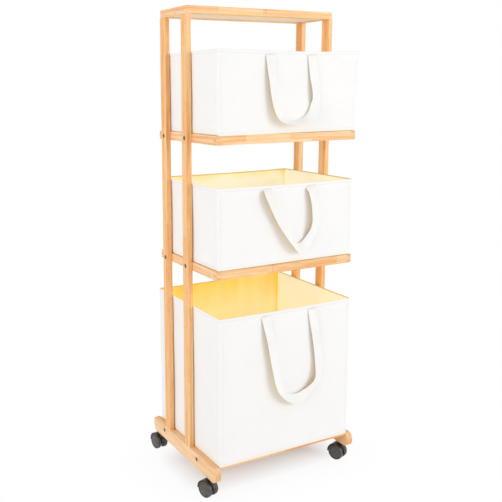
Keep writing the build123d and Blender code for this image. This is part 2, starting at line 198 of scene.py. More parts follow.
@dataclass(frozen=True)
class Bamboo:
    """Laminated bamboo: strips glued side by side, eased, sanded and clear lacquered."""

    grain: Grain
    pale: str = "FFE2BA"
    honey: str = "FAC88C"
    toast: str = "E79C52"
    joint: str = "BF7638"
    end_pale: str = "EDB276"
    end_dark: str = "D09050"
    strip: tuple[float, float] = (5.0 * MM, 21.0 * MM)  # thickness and width of one strip
    fibre: tuple[float, float] = (1.6 * MM, 60 * MM)  # real ones are 0.3 mm, drawn coarser to show
    streak: tuple[float, float] = (7 * MM, 380 * MM)
    longest: float = 10.0  # more than any board, so that a strip runs its whole length
    joint_every: float = 0.26  # length of one piece of a strip
    joint_high: float = 1.5 * MM
    joint_mark: float = 0.4  # how strongly a joint shows
    piece_share: float = 0.24  # of the tone that changes from piece to piece
    tones: tuple[float, float] = (0.76, 1.48)  # sums of the patterns at the pale and toasted ends
    end_from: float = 0.6  # how squarely a face must cross the grain to show as a sawn end
    end_share: float = 0.7
    bundle: float = 1.5 * MM  # pitch of the fibre bundles in a sawn end
    roughness: tuple[float, float] = (0.42, 0.56)
    relief: tuple[float, float] = (0.3, 0.2 * MM)  # strength and height of the fibres
    coat: tuple[float, float] = (0.15, 0.35)  # weight and roughness of the lacquer

    def material(self) -> Material:
        """Builds the material.

        Returns:
            A satin honey-coloured timber with strips, fibres, strip joints and darker dotted end grain.
        """
        material, tree = new_material(f"laminated_bamboo_{self.grain.name.lower()}")
        place = add_node(tree, "TexCoord").outputs
        split = add_node(tree, "SeparateXYZ", [place["Object"]]).outputs
        across, through, along = (split[i] for i in self.grain.value)
        turned = add_node(tree, "CombineXYZ", [across, through, along]).outputs[0]
        # the place in units of each pattern's size
        (wide, long), (band, run) = self.fibre, self.streak
        by_strip, by_fibre, by_streak = (
            add_node(tree, "VectorMath", [turned, size], operation="DIVIDE").outputs[0]
            for size in ((*self.strip, self.longest), (wide, wide, long), (band, band, run))
        )
        cell = add_node(tree, "VectorMath", [by_strip], operation="FLOOR").outputs[0]
        strip = add_node(tree, "TexWhiteNoise", {"Vector": cell}, noise_dimensions="3D")
        fibre, streak = (
            add_node(
                tree,
                "TexNoise",
                {"Vector": at, "Scale": 1.0, "Detail": detail, "Roughness": rough},
            ).outputs["Fac"]
            for at, detail, rough in ((by_fibre, 3.0, 0.6), (by_streak, 2.0, 0.5))
        )
        # each strip is jointed from short pieces of differing tone, every strip at its own place
        pieces = [along, 1 / self.joint_every, strip.outputs["Value"]]
        phase = add_node(tree, "Math", pieces, operation="MULTIPLY_ADD").outputs[0]
        number = add_node(tree, "Math", [phase], operation="FLOOR").outputs[0]
        piece = {"Vector": cell, "W": number}
        shade = add_node(tree, "TexWhiteNoise", piece, noise_dimensions="4D").outputs["Value"]
        shaded = [shade, self.piece_share, fibre]
        half_tone = add_node(tree, "Math", shaded, operation="MULTIPLY_ADD").outputs[0]
        tone = add_node(tree, "Math", [streak, half_tone], operation="ADD").outputs[0]
        turn = add_node(tree, "Math", [phase, 0.5], operation="PINGPONG").outputs[0]
        facing = add_node(tree, "SeparateXYZ", [place["Normal"]])
        ahead = facing.outputs[self.grain.value[2]]
        square = add_node(tree, "Math", [ahead], operation="ABSOLUTE").outputs[0]
        # the tone, the joint's mark, the share of sawn end and the gloss: what each follows, over which
        # range, and its own range
        level, mark, is_end, gloss = (
            add_node(tree, "MapRange", [follows, *span, *values]).outputs[0]
            for follows, span, values in (
                (tone, self.tones, (0.0, 1.0)),
                (turn, (self.joint_high / self.joint_every, 0.0), (0.0, self.joint_mark)),
                (square, (self.end_from, 1.0), (0.0, self.end_share)),
                (fibre, (0.0, 1.0), self.roughness),
            )
        )
        ramp = add_node(tree, "ValToRGB", [level])
        colour = set_ramp(ramp, [(0.0, self.pale), (0.5, self.honey), (1.0, self.toast)])
        # the sawn ends show the fibre bundles as dots and take the lacquer darker
        bundles = {"Vector": place["Object"], "Scale": 1 / self.bundle}
        dots = add_node(tree, "TexVoronoi", bundles).outputs["Distance"]
        end_ramp = add_node(tree, "ValToRGB", [dots])
        end_colour = set_ramp(end_ramp, [(0.1, self.end_dark), (0.55, self.end_pale)])
        for share, other in ((mark, linear(self.joint)), (is_end, end_colour)):
            both = {"Factor": share, 6: colour, 7: other}
            colour = add_node(tree, "Mix", both, data_type="RGBA").outputs[2]
        bump = {"Height": fibre, "Strength": self.relief[0], "Distance": self.relief[1]}
        look = {
            "Base Color": colour,
            "Roughness": gloss,
            "Normal": add_node(tree, "Bump", bump).outputs[0],
            "Coat Weight": self.coat[0],
            "Coat Roughness": self.coat[1],
        }
        shader = add_node(tree, "BsdfPrincipled", look)
        add_node(tree, "OutputMaterial", [shader.outputs[0]])
        return material


@dataclass(frozen=True)
class Speckled:
    """Paint, moulded plastic or plating: its tone, gloss and relief vary in one noise."""

    name: str
    colours: tuple[str, str]
    size: float  # of the mottling
    roughness: tuple[float, float]
    relief: float = 0.05 * MM
    metallic: float = 0.0
    span: tuple[float, float] = (0.3, 0.7)  # the part of the noise that shows
    strength: float = 0.35  # of the relief

    def material(self) -> Material:
        """Builds the material.

        Returns:
            A material named for the surface.
        """
        material, tree = new_material(self.name)
        place = add_node(tree, "TexCoord").outputs["Object"]
        speckle = {"Vector": place, "Scale": 1 / self.size, "Detail": 4.0, "Roughness": 0.6}
        mottle = add_node(tree, "TexNoise", speckle).outputs["Fac"]
        ramp = add_node(tree, "ValToRGB", [mottle])
        gloss = add_node(tree, "MapRange", [mottle, *self.span, *self.roughness])
        bump = {"Height": mottle, "Strength": self.strength, "Distance": self.relief}
        look = {
            "Base Color": set_ramp(ramp, list(zip(self.span, self.colours))),
            "Roughness": gloss.outputs[0],
            "Normal": add_node(tree, "Bump", bump).outputs[0],
            "Metallic": self.metallic,
        }
        shader = add_node(tree, "BsdfPrincipled", look)
        add_node(tree, "OutputMaterial", [shader.outputs[0]])
        return material


@dataclass(frozen=True)
class Woven:
    """Cloth or webbing, woven over and under, on the piece's own map in metres."""

    name: str
    colours: tuple[str, str]
    pitch: tuple[float, float]  # of the weft and the warp, a little coarser than real so that they show
    relief: float
    roughness: float = 0.85
    sheen: float = 0.2
    mottling: float = 60 * MM
    weave_share: float = 0.35  # of the tone, beside the mottling
    span: tuple[float, float] = (0.25, 0.85)  # tones of the second and the first colour
    strength: float = 0.4  # of the relief

    def material(self) -> Material:
        """Builds the material.

        Returns:
            A soft matt weave with a faint cloudiness and sheen.
        """
        material, tree = new_material(self.name)
        place = add_node(tree, "TexCoord")
        threads = [
            add_node(
                tree,
                "TexWave",
                {"Vector": place.outputs["UV"], "Scale": WAVE_PERIOD / size, "Distortion": 0.0},
                wave_type="BANDS",
                bands_direction=way,
            ).outputs["Fac"]
            for size, way in zip(self.pitch, "XY")
        ]
        weave = add_node(tree, "Math", threads, operation="MULTIPLY").outputs[0]
        spot = place.outputs["Object"]
        clouds = {"Vector": spot, "Scale": 1 / self.mottling, "Detail": 5.0, "Roughness": 0.55}
        cloud = add_node(tree, "TexNoise", clouds).outputs["Fac"]
        shaded = [weave, self.weave_share, cloud]
        tone = add_node(tree, "Math", shaded, operation="MULTIPLY_ADD").outputs[0]
        ramp = add_node(tree, "ValToRGB", [tone])
        colour = set_ramp(ramp, list(zip(self.span, reversed(self.colours))))
        bump = {"Height": weave, "Strength": self.strength, "Distance": self.relief}
        look = {
            **self.colour_and_painted_light(tree, place, colour),
            "Normal": add_node(tree, "Bump", bump).outputs[0],
            "Roughness": self.roughness,
            "Sheen Weight": self.sheen,
            "Sheen Roughness": 0.5,
        }
        shader = add_node(tree, "BsdfPrincipled", look)
        add_node(tree, "OutputMaterial", [shader.outputs[0]])
        return material

    def colour_and_painted_light(self, tree: NodeTree, place: Node, colour: NodeSocket) -> dict[str, object]:
        """Thick cloth is woven in its own colours and lets no light through."""
        return {"Base Color": colour}


@dataclass(frozen=True)
class Lining(Woven):
    """Thin yellow taffeta, golden in painted shade under the rim and down the back right corner, cream
    in painted light on the inside of the right wall, and with a painted glow.
    """

    rim: float = 0.0  # height of the bag's mouth
    half: float = 0.0  # half the bag's width
    start: float = 0.0  # painted shade: tone at the rim, from golden at 0 to cream at 1
    fade: float = 110 * MM  # depth in which the painted shade turns paler
    paler: float = 0.6  # by how much
    golden: str = "F9D35A"
    yellow: str = "F9EDB8"
    cream: str = "F9F5E2"
    seam: tuple[float, float] = (26 * MM, 4 * MM)  # from the right wall: where the seam and the painted shade of the back right corner begin, are full
    seam_and_painted_shade_tone: float = -0.45
    # painted light: the inside of the right wall is drawn paler
    right: tuple[float, float] = (-0.6, -0.95)  # how a face turns on the inside of the right wall
    painted_light_right_tone: float = 1.4
    fold: tuple[float, float] = (50 * MM, 600 * MM)  # width and height of the soft folds whose light and shade are painted
    painted_fold_tone: float = 0.12
    # painted glow: the lining gives off light in its own colour, standing in for light through the cloth
    painted_glow: float = 0.27

    def colour_and_painted_light(self, tree: NodeTree, place: Node, colour: NodeSocket) -> dict[str, object]:
        """Dyes the weave, paints light and shade into its tone and adds a painted glow.

        Args:
            tree: the material's node tree.
            place: its texture coordinates.
            colour: the undyed weave.

        Returns:
            The shader's colour and painted glow.
        """
        spot = place.outputs["Object"]
        at = add_node(tree, "SeparateXYZ", [spot]).outputs
        facing = add_node(tree, "SeparateXYZ", [place.outputs["Normal"]]).outputs[0]
        wide, high = self.fold
        size = (wide, wide, high)
        stretched = add_node(tree, "VectorMath", [spot, size], operation="DIVIDE").outputs[0]
        soft = {"Vector": stretched, "Scale": 1.0, "Detail": 1.0}
        painted_fold_light = add_node(tree, "TexNoise", soft).outputs["Fac"]
        # painted light and shade of soft folds, painted shade under the rim that pales with depth, the
        # double seam allowances with painted shade down the back right corner, and painted light on the
        # inside of the right wall: what each follows, its range, and the tones it adds
        tones = [
            add_node(tree, "MapRange", [follows, *span, *values]).outputs[0]
            for follows, span, values in (
                (painted_fold_light, (0.3, 0.7), (-self.painted_fold_tone, self.painted_fold_tone)),
                (at[2], (self.rim, self.rim - self.fade), (self.start, self.start + self.paler)),
                (at[0], (self.half - self.seam[0], self.half - self.seam[1]), (0.0, self.seam_and_painted_shade_tone)),
                (facing, self.right, (0.0, self.painted_light_right_tone)),
            )
        ]
        total = tones[0]
        for tone in tones[1:]:
            total = add_node(tree, "Math", [total, tone], operation="ADD").outputs[0]
        ramp = add_node(tree, "ValToRGB", [total])
        tint_with_painted_light = set_ramp(ramp, [(0.0, self.golden), (0.6, self.yellow), (1.0, self.cream)])
        both = {"Factor": 1.0, 6: colour, 7: tint_with_painted_light}
        mix = add_node(tree, "Mix", both, data_type="RGBA", blend_type="MULTIPLY").outputs[2]
        # painted glow: the tint is also given off as light, though the lining is no lamp
        return {"Base Color": mix, "Emission Color": mix, "Emission Strength": self.painted_glow}


@dataclass
class Finishes:
    """Every finish of the object, made once."""

    bamboo: dict[Grain, Material] = field(default_factory=dict)
    plain: dict[str, Material] = field(default_factory=dict)

    def make(self) -> None:
        """Builds the materials."""
        # the posts drawn redder, and the boards running front to back paler
        batches = [
            Bamboo(Grain.ACROSS),
            Bamboo(Grain.DEEP, pale="FFE6C6", honey="FBCD98"),
            Bamboo(Grain.UPRIGHT, pale="FFDAAA", honey="FAC07C", toast="E49448"),
        ]
        for batch in batches:
            self.bamboo[batch.grain] = batch.material()
        surfaces = [
            # white lacquered hardboard, faintly pink: rolled paint, a fine orange peel, almost no gloss
            Speckled("lacquered_hardboard", ("F6ECEB", "FFF5F4"), 14 * MM, (0.5, 0.6)),
            # black nylon moulding: fine spark-eroded texture, scuffed a little paler
            Speckled("moulded_nylon_hood", ("2A2826", "3E3B38"), 5 * MM, (0.25, 0.36), 0.06 * MM),
            # nylon wheel: the same plastic, mottled dusty grey
            Speckled("moulded_nylon_wheel", ("3A3734", "5C5956"), 8 * MM, (0.34, 0.48), 0.08 * MM),
            # zinc-plated steel: bright, faintly cloudy
            Speckled("zinc_plated_steel", ("B9B8B4", "CFCDC8"), 3 * MM, (0.25, 0.38), 0.02 * MM, 1.0),
            # dark bronze coated bolt heads: a soft metallic brown
            Speckled("bronzed_steel_bolt", ("6A5445", "8A725E"), 3 * MM, (0.35, 0.48), 0.02 * MM, 0.7),
            # turned brass of the threaded inserts
            Speckled("turned_brass", ("B8935A", "CDA868"), 2 * MM, (0.28, 0.4), 0.02 * MM, 1.0),
            # polyester sewing thread: off-white and slightly glossy
            Speckled("sewing_thread", ("E2DCD0", "F1EDE5"), 1.5 * MM, (0.5, 0.6), 0.05 * MM),
            # beech dowels: fine, pale and even
            Speckled("beech_dowel", ("DDB98C", "E8CBA2"), 2 * MM, (0.55, 0.7), 0.05 * MM),
            # coated polyester cloth of the bags: plain weave, real threads 0.5 mm, drawn at 1.6
            Woven("off_white_bag_cloth", ("FCFBFA", "F8F7F5"), (1.6 * MM, 1.6 * MM), 0.12 * MM),
            # the turned-in edge at the foot of each bag: one layer with the yellow lining behind it
            Woven("bag_foot_binding", ("FDF8E8", "F8F0DC"), (1.6 * MM, 1.6 * MM), 0.12 * MM),
            # the lining's folded edge: two layers, drawn a deeper yellow as painted shade along the rim
            Woven("lining_edge_painted_shade", ("F4D468", "EAC24C"), (1.2 * MM, 1.2 * MM), 0.06 * MM, 0.7, 0.3),
            # the stiff board in the foot of each bag, covered in the same yellow
            Speckled("yellow_covered_board", ("FFE199", "FFEDB8"), 20 * MM, (0.6, 0.75)),
            # flat polyester webbing: lengthwise ribs crossed by a fine weft
            Woven("off_white_webbing", ("FDFCFA", "F6F4F0"), (3.2 * MM, 1.8 * MM), 0.3 * MM),
            # its inner side: drawn tan yellow as painted warm shade under the webbing
            Woven("webbing_back_painted_warm_shade", ("F6D78C", "EAC36C"), (3.2 * MM, 1.8 * MM), 0.3 * MM),
        ]
        for surface in surfaces:
            self.plain[surface.name] = surface.material()


# ---------------------------------------------------------------- studio


@dataclass(frozen=True)
class Lamp:
    """A square soft lamp: its name, where it hangs, its power and its side."""

    name: str
    at: tuple[float, float, float]
    watts: float
    size: float = 3.0

    def hang(self, target: Vector) -> None:
        """Hangs the lamp.

        Args:
            target: what it faces.
        """
        light = bpy.data.lights.new(self.name, "AREA")
        light.size = self.size
        light.energy = self.watts
        at = Vector(self.at)
        facing = (target - at).to_track_quat("-Z", "Y").to_matrix().to_4x4()
        lamp = bpy.data.objects.new(self.name, light)
        lamp.matrix_world = Matrix.Translation(at) @ facing
        bpy.context.scene.collection.objects.link(lamp)


@dataclass
class Studio:
    """A white room: a floor that keeps the shadow, soft light from all round and two large lamps."""

    floor_half: float = 9.0
    footprint: tuple[float, float] = (0.17, 0.05)  # half the floor that keeps most of its shade
    reach: float = 0.36  # how far beyond it the floor turns plain white
    floor_code: str = "F3F7FC"
    # how white the floor is drawn, from the footprint outward
    whitening: tuple[tuple[float, str], ...] = (
        (0.0, "989898"),
        (0.3, "F7F7F7"),
        (0.65, "FEFEFE"),
        (1.0, "FFFFFF"),
    )
    ambient: float = 0.64
    ambient_code: str = "FFFDFA"
    target: tuple[float, float, float] = (0.0, 0.0, 0.65)  # what the lamps face
    lamps: tuple[Lamp, ...] = (
        Lamp("key", (3.4, -4.8, 1.85), 118.0),
        Lamp("side", (-5.8, -1.2, 1.75), 105.0),
    )
    eye: tuple[float, float, float] = (-1.1484, -1.8016, 1.1179)
    yaw: float = 27.62  # from straight on, towards the right
    pitch: float = -11.36
    roll: float = -0.46
    lens: float = 52.73
    shift: tuple[float, float] = (0.1215, -0.0259)

    def build(self) -> None:
        """Builds the floor, the world, the lamps and the camera."""
        self.floor()
        self.world()
        for lamp in self.lamps:
            lamp.hang(Vector(self.target))
        self.camera()

    @staticmethod
    def seen(tree: NodeTree) -> NodeSocket:
        """1 where the camera, a mirror or glass looks straight at the surface.

        Args:
            tree: the node tree.

        Returns:
            The mask's socket.
        """
        path = add_node(tree, "LightPath").outputs
        mask = path["Is Camera Ray"]
        for rays in ("Is Glossy Ray", "Is Transmission Ray"):
            mask = add_node(tree, "Math", [mask, path[rays]], operation="MAXIMUM").outputs[0]
        return mask

    def floor(self) -> None:
        """A pale floor that turns to plain white away from the object."""
        material, tree = new_material("pale_studio_floor")
        matt = {"Base Color": linear(self.floor_code), "Roughness": 0.95, "Specular IOR Level": 0.0}
        shader = add_node(tree, "BsdfPrincipled", matt)
        away = add_node(tree, "TexCoord").outputs["Object"]
        steps = [("ABSOLUTE", []), ("SUBTRACT", [(*self.footprint, 1.0)]), ("MAXIMUM", [(0.0,) * 3])]
        for operation, other in steps:
            away = add_node(tree, "VectorMath", [away, *other], operation=operation).outputs[0]
        far = add_node(tree, "VectorMath", [away], operation="LENGTH").outputs["Value"]
        share = add_node(tree, "Math", [far, self.reach], operation="DIVIDE").outputs[0]
        fade = set_ramp(add_node(tree, "ValToRGB", [share]), self.whitening)
        mask = add_node(tree, "Math", [fade, self.seen(tree)], operation="MULTIPLY").outputs[0]
        white = add_node(tree, "Emission", {"Strength": 1.0}).outputs[0]
        mix = add_node(tree, "MixShader", [mask, shader.outputs[0], white]).outputs[0]
        add_node(tree, "OutputMaterial", [mix])
        bm = bmesh.new()
        bmesh.ops.create_grid(bm, x_segments=2, y_segments=2, size=self.floor_half)
        new_piece("studio_floor", bm, material)

    def world(self) -> None:
        """White where it is looked at, and an even soft light elsewhere."""
        world = bpy.data.worlds.new("studio_white")
        bpy.context.scene.world = world
        world.use_nodes = True
        tree = world.node_tree
        tree.nodes.clear()
        soft, white = (
            add_node(tree, "Background", [linear(code), strength]).outputs[0]
            for code, strength in ((self.ambient_code, self.ambient), ("FFFFFF", 1.0))
        )
        mix = add_node(tree, "MixShader", [self.seen(tree), soft, white]).outputs[0]
        add_node(tree, "OutputWorld", [mix])

    def camera(self) -> None:
        """Stands the camera at chest height, to the left of the front."""
        yaw, pitch, roll = (math.radians(a) for a in (self.yaw, self.pitch, self.roll))
        flat = math.cos(pitch)
        ahead = Vector((math.sin(yaw) * flat, math.cos(yaw) * flat, math.sin(pitch)))
        level = Vector((math.cos(yaw), -math.sin(yaw), 0.0))
        right = level * math.cos(roll) + level.cross(ahead) * math.sin(roll)
        turned = Matrix((right, right.cross(ahead), -ahead)).transposed().to_4x4()
        data = bpy.data.cameras.new("camera")
        data.lens = self.lens
        data.shift_x, data.shift_y = self.shift
        camera = bpy.data.objects.new("camera", data)
        camera.matrix_world = Matrix.Translation(Vector(self.eye)) @ turned
        bpy.context.scene.collection.objects.link(camera)
        bpy.context.scene.camera = camera


# ---------------------------------------------------------------- timber, hardware and casters


@dataclass
class Hardware:
    """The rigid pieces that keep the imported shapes: they only take a finish."""

    finishes: Finishes

    def finish_of(self, node: str) -> Material:
        """Chooses a rigid node's finish.

        Args:
            node: the node's name.

        Returns:
            Its material.
        """
        plain, bamboo = self.finishes.plain, self.finishes.bamboo
        if node.startswith("caster_"):
            if node.endswith("_hood") or node == "caster_sleeves":
                return plain["moulded_nylon_hood"]
            return plain["moulded_nylon_wheel" if node.endswith("_wheel") else "zinc_plated_steel"]
        if node.endswith("panel"):
            return plain["lacquered_hardboard"]
        if node.endswith("_bolts"):
            return plain["bronzed_steel_bolt"]
        if node.endswith("_nuts"):
            return plain["turned_brass"]
        if node == "post_dowels":
            return plain["beech_dowel"]
        if node.endswith("_bag_board"):
            return plain["yellow_covered_board"]
        if node.startswith("post_"):
            return bamboo[Grain.UPRIGHT]
        if node.startswith("foot_") or node.endswith(("_left_rail", "_right_rail")):
            return bamboo[Grain.DEEP]
        return bamboo[Grain.ACROSS]

    def dress(self) -> None:
        """Gives every rigid node its finish."""
        for name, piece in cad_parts.items():
            material = self.finish_of(name)
            if not piece.material_slots:
                piece.data.materials.append(material)
            for slot in piece.material_slots:
                slot.material = material
        log.info("finished %d rigid nodes", len(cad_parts))


# ---------------------------------------------------------------- sewn goods


@dataclass
class Thread:
    """Runs of short raised stitches, gathered into one piece."""

    pitch: float = 5.0 * MM
    long: float = 3.6 * MM
    thick: float = 0.8 * MM
    lift: float = 0.15 * MM  # a stitch's middle off the cloth
    bm: BMesh = field(default_factory=bmesh.new)

    def stitch(self, at: Vector, way: Vector, out: Vector) -> None:
        """Adds one stitch.

        Args:
            at: its middle, on the cloth.
            way: the direction of sewing.
            out: away from the cloth.
        """
        way = (way - out * way.dot(out)).normalized()
        turn = Matrix((way, out.cross(way), out)).transposed().to_4x4()
        size = Matrix.Diagonal((self.long / 2, self.thick / 2, self.thick / 3, 1.0))
        bmesh.ops.create_icosphere(
            self.bm, subdivisions=1, radius=1.0, matrix=Matrix.Translation(at) @ turn @ size
        )

    def piece(self, name: str, material: Material) -> Object:
        """The finished stitching as one object."""
        return new_piece(name, self.bm, material)


@dataclass
class Bag:
    """An open cloth bag: a sewn shell that settles between the posts, with hem, seams and lining."""

    kind: BagKind
    finishes: Finishes
    lean: float = 0.0  # how far the right side of the rim leans out
    lean_out: tuple[float, float] = (-45 * MM, -150 * MM)  # where an outward lean starts, is full
    lean_in: tuple[float, float] = (100 * MM, -150 * MM)  # the same for an inward one
    lean_back: float = 0.4  # share of an inward lean that the back takes
    spill: float = 0.0  # how far the front's foot hangs over the rail
    spill_deep: float = 2.6 * MM  # how much of the foot does so
    spill_out: float = 2.8 * MM  # how far it stands out there
    lining: tuple[float, float] = (0.5, 30 * MM)  # the lining's painted shade at the rim, and how fast it pales
    belly: float = 2.2 * MM  # how far the front swells
    belly_back: float = 0.4  # share of it that the back swells
    hollow: float = 1.4 * MM  # how far the sides draw in
    dip: float = 2.0 * MM  # sag of the rim between its corners
    cloth: float = 2.0 * MM
    corner: float = 4.5 * MM
    lip: float = 3.0 * MM  # the folded edge of the lining
    hem: float = 10.0 * MM
    welt: float = 7.0 * MM
    fold: float = 0.7 * MM  # the hem stands proud by its extra layers
    fold_high: float = 2.0 * MM  # height in which it comes out
    groove: tuple[float, float] = (1.4 * MM, 0.7 * MM)  # half width and depth of a seam's line
    groove_mesh: float = 2.2 * MM  # mesh lines on both sides of it
    draw: float = 1.5 * MM  # how far each wall comes in at the foot
    waves: tuple[tuple[float, float], ...] = ((1.3 * MM, 6.5), (0.5 * MM, 17.0))  # height, how close
    side_wave: float = 0.4 * MM  # how far a wave may come out of a side, beside the posts
    rim_wave: tuple[float, float] = (1.0 * MM, 5.0)  # the same for the rim's rise and fall
    wall_power: int = 10  # makes a wall count as near 1 and the rest as near 0
    stitch_in: tuple[float, float, float] = (2.6 * MM, 3.0 * MM, 2.8 * MM)  # off hem, welt and seams
    seam_ends: tuple[float, float] = (8 * MM, 4 * MM)  # from the welt and the hem to upright seams
    mesh_step: float = 15.0 * MM

    def __post_init__(self) -> None:
        """Takes the bag's limits from its solid."""
        self.low, self.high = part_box(f"{self.kind.value}_bag")
        self.half = (self.high.x - self.low.x) / 2
        self.middle = (self.high.y + self.low.y) / 2
        self.deep = (self.high.y - self.low.y) / 2
        self.tall = self.high.z - self.low.z
        self.seed = Vector((3.1, 1.7, 0.0)) * (1 + list(BagKind).index(self.kind))

    def pressed(self, p: Vector, end: float) -> float:
        """How far the cloth stands out at the hem and sinks in at the seams.

        Args:
            p: a point on the upright box.
            end: 1 on the front and back walls, 0 elsewhere.

        Returns:
            The way out, in metres.
        """
        half_wide, depth = self.groove
        level_seams = (self.high.z - self.hem, self.low.z + self.welt)
        seam = sum(math.exp(-(((p.z - level) / half_wide) ** 2)) for level in level_seams)
        seam += math.exp(-(((abs(p.x) - self.half + self.welt) / half_wide) ** 2)) * end
        proud = self.fold * smooth(-self.hem, -self.hem + self.fold_high, p.z - self.high.z)
        return proud - depth * min(seam, 1.0)

    def settle(self, p: Vector) -> Vector:
        """Moves a point of the cut shape to where the cloth hangs.

        Args:
            p: a point on the upright box that the cloth was cut for.

        Returns:
            The point on the settled cloth.
        """
        u = p.x / self.half
        v = (p.y - self.middle) / self.deep
        t = (p.z - self.low.z) / self.tall
        side, end = abs(u) ** self.wall_power, abs(v) ** self.wall_power
        sign_u, sign_v = math.copysign(1.0, u), math.copysign(1.0, v)
        # the walls stand out most just below their middle, and the foot and the hem keep them still
        swell = math.sin(math.pi * min(1.0, max(0.0, t)) ** 0.8)
        still = smooth(0.0, 0.06, t) * (1 - 0.75 * smooth(0.88, 1.0, t))
        ripple = sum(high * noise.noise(p * rate + self.seed) for high, rate in self.waves) * still
        front = self.belly if v < 0 else self.belly * self.belly_back
        out_y = (front * swell * (1 - u * u) + ripple) * end
        out_x = (-self.hollow * swell * (1 - v * v) + min(ripple, self.side_wave)) * side
        press = self.pressed(p, end)
        x = p.x * (self.half - self.draw * (1 - t)) / self.half + sign_u * (out_x + press * side)
        y = self.middle + (p.y - self.middle) * (self.deep - self.draw * (1 - t)) / self.deep
        y += sign_v * (out_y + press * end)
        if self.lean > 0:
            forward = smooth(*self.lean_out, p.y)
        else:
            forward = self.lean_back + (1 - self.lean_back) * smooth(*self.lean_in, p.y)
        x += self.lean * forward * max(0.0, u) ** 3 * smooth(0.1, 1.0, t)
        z = p.z - self.dip * (1 - u * u) * end * smooth(0.5, 1.0, t)
        if self.spill and v < 0:
            inside = (self.middle - self.deep + self.spill_deep - p.y) / self.spill_deep
            over = smooth(0.0, 1.0, inside) * smooth(0.14, 0.0, t)
            y -= self.spill_out * over
            z -= self.spill * over * (0.35 + 0.65 * smooth(0.6, -1.0, u))
        high, rate = self.rim_wave
        z += high * noise.noise(Vector((p.x * rate, p.y * rate, 2.0)) + self.seed) * smooth(0.6, 1.0, t)
        return Vector((x, y, z))

    def cut(self) -> BMesh:
        """Cuts the shell out of a box, rounds its corners and divides it finely.

        Returns:
            The upright shell, open at the top, with its map in metres.
        """
        bm = bmesh.new()
        size = self.high - self.low
        centre = (self.high + self.low) / 2
        placed = Matrix.Translation(centre) @ Matrix.Diagonal((*size, 1.0))
        bmesh.ops.create_cube(bm, size=1.0, matrix=placed)
        lid = [f for f in bm.faces if f.normal.z > 0.9]
        bmesh.ops.delete(bm, geom=lid, context="FACES_ONLY")
        kept = [e for e in bm.edges if not all(v.co.z > centre.z for v in e.verts)]
        bmesh.ops.bevel(
            bm,
            geom=kept,
            offset=self.corner,
            offset_type="OFFSET",
            segments=4,
            profile=0.5,
            affect="EDGES",
            material=-1,
        )
        for axis in range(3):
            spans = {e: abs((e.verts[1].co - e.verts[0].co)[axis]) for e in bm.edges}
            least = 2 * self.mesh_step
            long = [e for e, span in spans.items() if span > max(least, 0.99 * e.calc_length())]
            cuts = round(long[0].calc_length() / self.mesh_step) - 1
            bmesh.ops.subdivide_edges(bm, edges=long, cuts=cuts, use_grid_fill=True)
        levels = [(2, level) for level in (self.high.z - self.hem, self.low.z + self.welt)]
        levels += [(0, s * (self.half - self.welt)) for s in (-1, 1)]
        offsets = (-self.groove_mesh, 0.0, self.groove_mesh)
        cuts = [(axis, level + off) for axis, level in levels for off in offsets]
        for axis, level in [*cuts, (2, self.high.z - self.lip)]:
            normal = Vector((0.0, 0.0, 0.0))
            normal[axis] = 1.0
            bmesh.ops.bisect_plane(
                bm,
                geom=[*bm.verts, *bm.edges, *bm.faces],
                dist=0.05 * MM,
                plane_co=normal * level,
                plane_no=normal,
            )
        layer = bm.loops.layers.uv.new("cloth")
        bm.normal_update()
        for face in bm.faces:
            normal = [abs(c) for c in face.normal]
            first, second = ((1, 2), (0, 2), (0, 1))[normal.index(max(normal))]
            for loop in face.loops:
                loop[layer].uv = (loop.vert.co[first], loop.vert.co[second])
        return bm

    def walk(self, level: float) -> Iterator[tuple[Vector, Vector, Vector]]:
        """Goes once round the bag at a height.

        Args:
            level: the height.

        Yields:
            Points on the cut shape one stitch apart, with the direction of sewing and the way out.
        """
        x, y, r = self.half - self.corner, self.deep - self.corner, self.corner
        quarter = (r * math.pi / 2, True)
        runs = [(2 * x, False), quarter, (2 * y, False), quarter] * 2
        at, heading, travelled = Vector((-x, -self.deep)), 0.0, 0.0
        for length, bends in runs:
            ahead = Vector((math.cos(heading), math.sin(heading)))
            hub = at + Vector((-ahead.y, ahead.x)) * r
            while travelled < length:
                way, spot = ahead, at + ahead * travelled
                if bends:
                    turn = heading + travelled / r
                    way = Vector((math.cos(turn), math.sin(turn)))
                    spot = hub + Vector((way.y, -way.x)) * r
                yield (
                    Vector((spot.x, spot.y + self.middle, level)),
                    Vector((way.x, way.y, 0.0)),
                    Vector((way.y, -way.x, 0.0)),
                )
                travelled += Thread.pitch
            travelled -= length
            if bends:
                heading += math.pi / 2
                at = hub + Vector((math.sin(heading), -math.cos(heading))) * r
            else:
                at = at + ahead * length

    def sew(self) -> Object:
        """Sews the hem, the bottom welt and the upright seams.

        Returns:
            The stitching.
        """
        thread = Thread()
        from_hem, from_welt, from_seam = self.stitch_in
        over_welt, under_hem = self.seam_ends
        for level in (self.high.z - self.hem + from_hem, self.low.z + self.welt + from_welt):
            for p, way, out in self.walk(level):
                thread.stitch(self.settle(p) + out * thread.lift, way, out)
        rise = Vector((0.0, 0.0, 1.0))
        for side in (-1, 1):
            for end, y in ((-1, self.low.y), (1, self.high.y)):
                x = side * (self.half - self.welt - from_seam)
                out = Vector((0.0, float(end), 0.0))
                z = self.low.z + self.welt + over_welt
                while z < self.high.z - self.hem - under_hem:
                    thread.stitch(self.settle(Vector((x, y, z))) + out * thread.lift, rise, out)
                    z += thread.pitch
        return thread.piece(f"{self.kind.value}_bag_stitching", self.finishes.plain["sewing_thread"])

